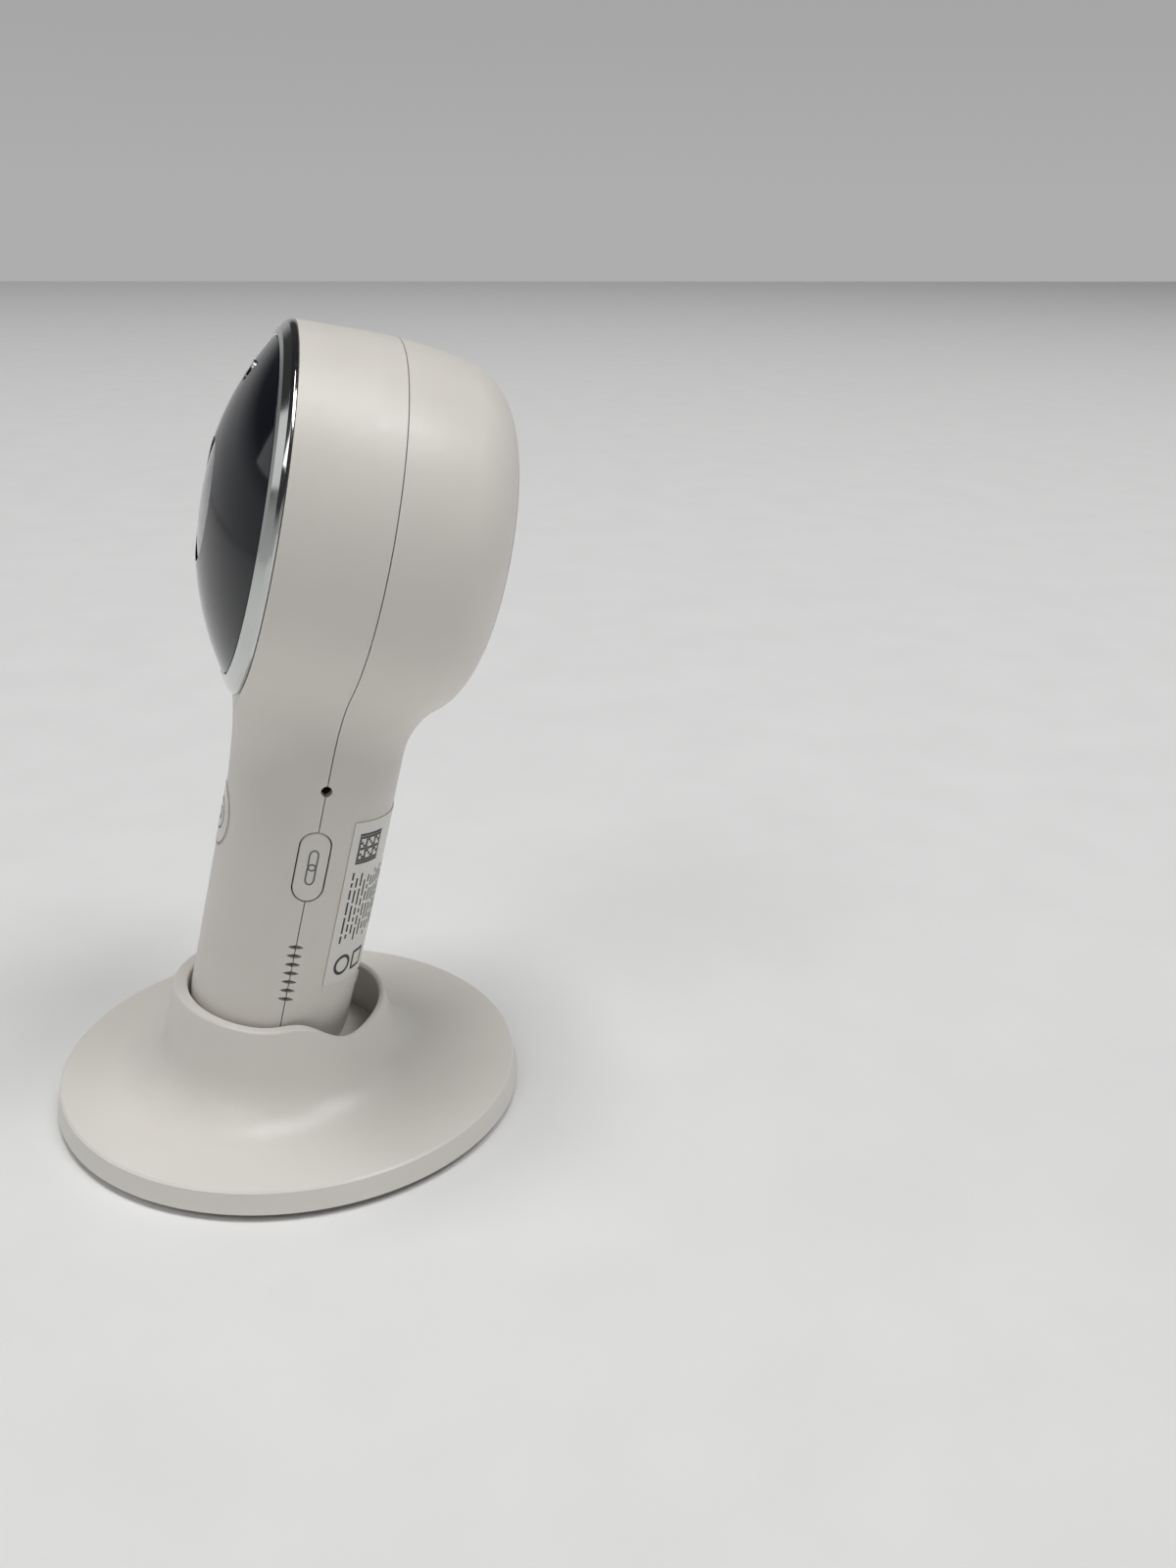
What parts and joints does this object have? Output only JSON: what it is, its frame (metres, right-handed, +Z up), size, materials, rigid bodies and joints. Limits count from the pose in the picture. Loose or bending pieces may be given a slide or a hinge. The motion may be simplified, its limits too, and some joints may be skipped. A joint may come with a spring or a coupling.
{
  "type": "baby monitor camera",
  "caption": "Small nursery camera: a round head with a black domed window in a bright ring, on a leaning stem that tilts in a flared round foot.",
  "frame": {"origin": "middle of the round foot's underside, on the surface it stands on", "axes": "+Z up, -Y is the way the lens faces, +X is the side with the pairing button"},
  "size_m": [0.0896, 0.0896, 0.1456],
  "materials": {
    "white_shell": "warm white moulded plastic, satin with a fine grain",
    "badge_plate": "plain round badge, slightly smoother than the shell",
    "label_film": "thin printed film, satin",
    "bright_trim": "mirror bright plating",
    "black_window": "deep black, polished",
    "clear_port": "clear, polished",
    "sensor_resin": "dark moulded resin",
    "black_anodised": "black anodised, satin",
    "black_plastic": "black moulded plastic",
    "circuit_board": "green solder mask",
    "plated_steel": "bright plated steel",
    "soft_rubber": "dark soft rubber",
    "flat_cable": "flat flexible cable film",
    "cream_plastic": "cream connector plastic",
    "grey_nylon": "glass filled grey nylon",
    "ballast_iron": "plain cast iron with a dull coat"
  },
  "bodies": {
    "base": {"base_shell": "white_shell", "bottom_cover": "white_shell", "rubber_feet": "soft_rubber", "base_screws": "plated_steel", "ballast_plate": "ballast_iron", "hinge_post": "grey_nylon", "post_screws": "plated_steel", "tilt_pin": "plated_steel", "retaining_clip": "plated_steel", "friction_washers": "cream_plastic"},
    "camera": {"front_housing": "white_shell", "rear_housing": "white_shell", "rear_grille": "white_shell", "front_badge": "badge_plate", "rating_label": "label_film", "trim_ring": "bright_trim", "front_window": "black_window", "port_ring": "black_window", "port_glass": "clear_port", "front_lens": "clear_port", "infrared_cut_filter": "clear_port", "light_sensor": "sensor_resin", "image_sensor": "sensor_resin", "infrared_leds": "sensor_resin", "temperature_sensor": "sensor_resin", "lens_barrel": "black_anodised", "lens_holder": "black_plastic", "light_shroud": "black_plastic", "tact_switch": "black_plastic", "socket_tongue": "black_plastic", "speaker": "black_plastic", "main_board": "circuit_board", "led_board": "circuit_board", "stem_board": "circuit_board", "power_board": "circuit_board", "antenna": "circuit_board", "board_screws": "plated_steel", "radio_shield": "plated_steel", "microphone": "plated_steel", "power_socket": "plated_steel", "housing_screw": "plated_steel", "speaker_gasket": "soft_rubber", "microphone_boot": "soft_rubber", "ribbon_cable": "flat_cable", "ribbon_connectors": "cream_plastic", "hinge_yoke": "grey_nylon"},
    "button": {"pair_button": "white_shell"}
  },
  "joints": [
    {"name": "head_tilt", "type": "hinge", "parent": "base", "child": "camera", "pos_m": [0, -0.00298, 0.021], "axis": [1, 0, 0], "range_deg": [-10, 13.3]},
    {"name": "pair_press", "type": "slide", "parent": "camera", "child": "button", "axis": [-1, 0, 0], "range_m": [0, 0.0007], "stiffness_N_per_m": 500, "springref_m": -0.0005}
  ]
}
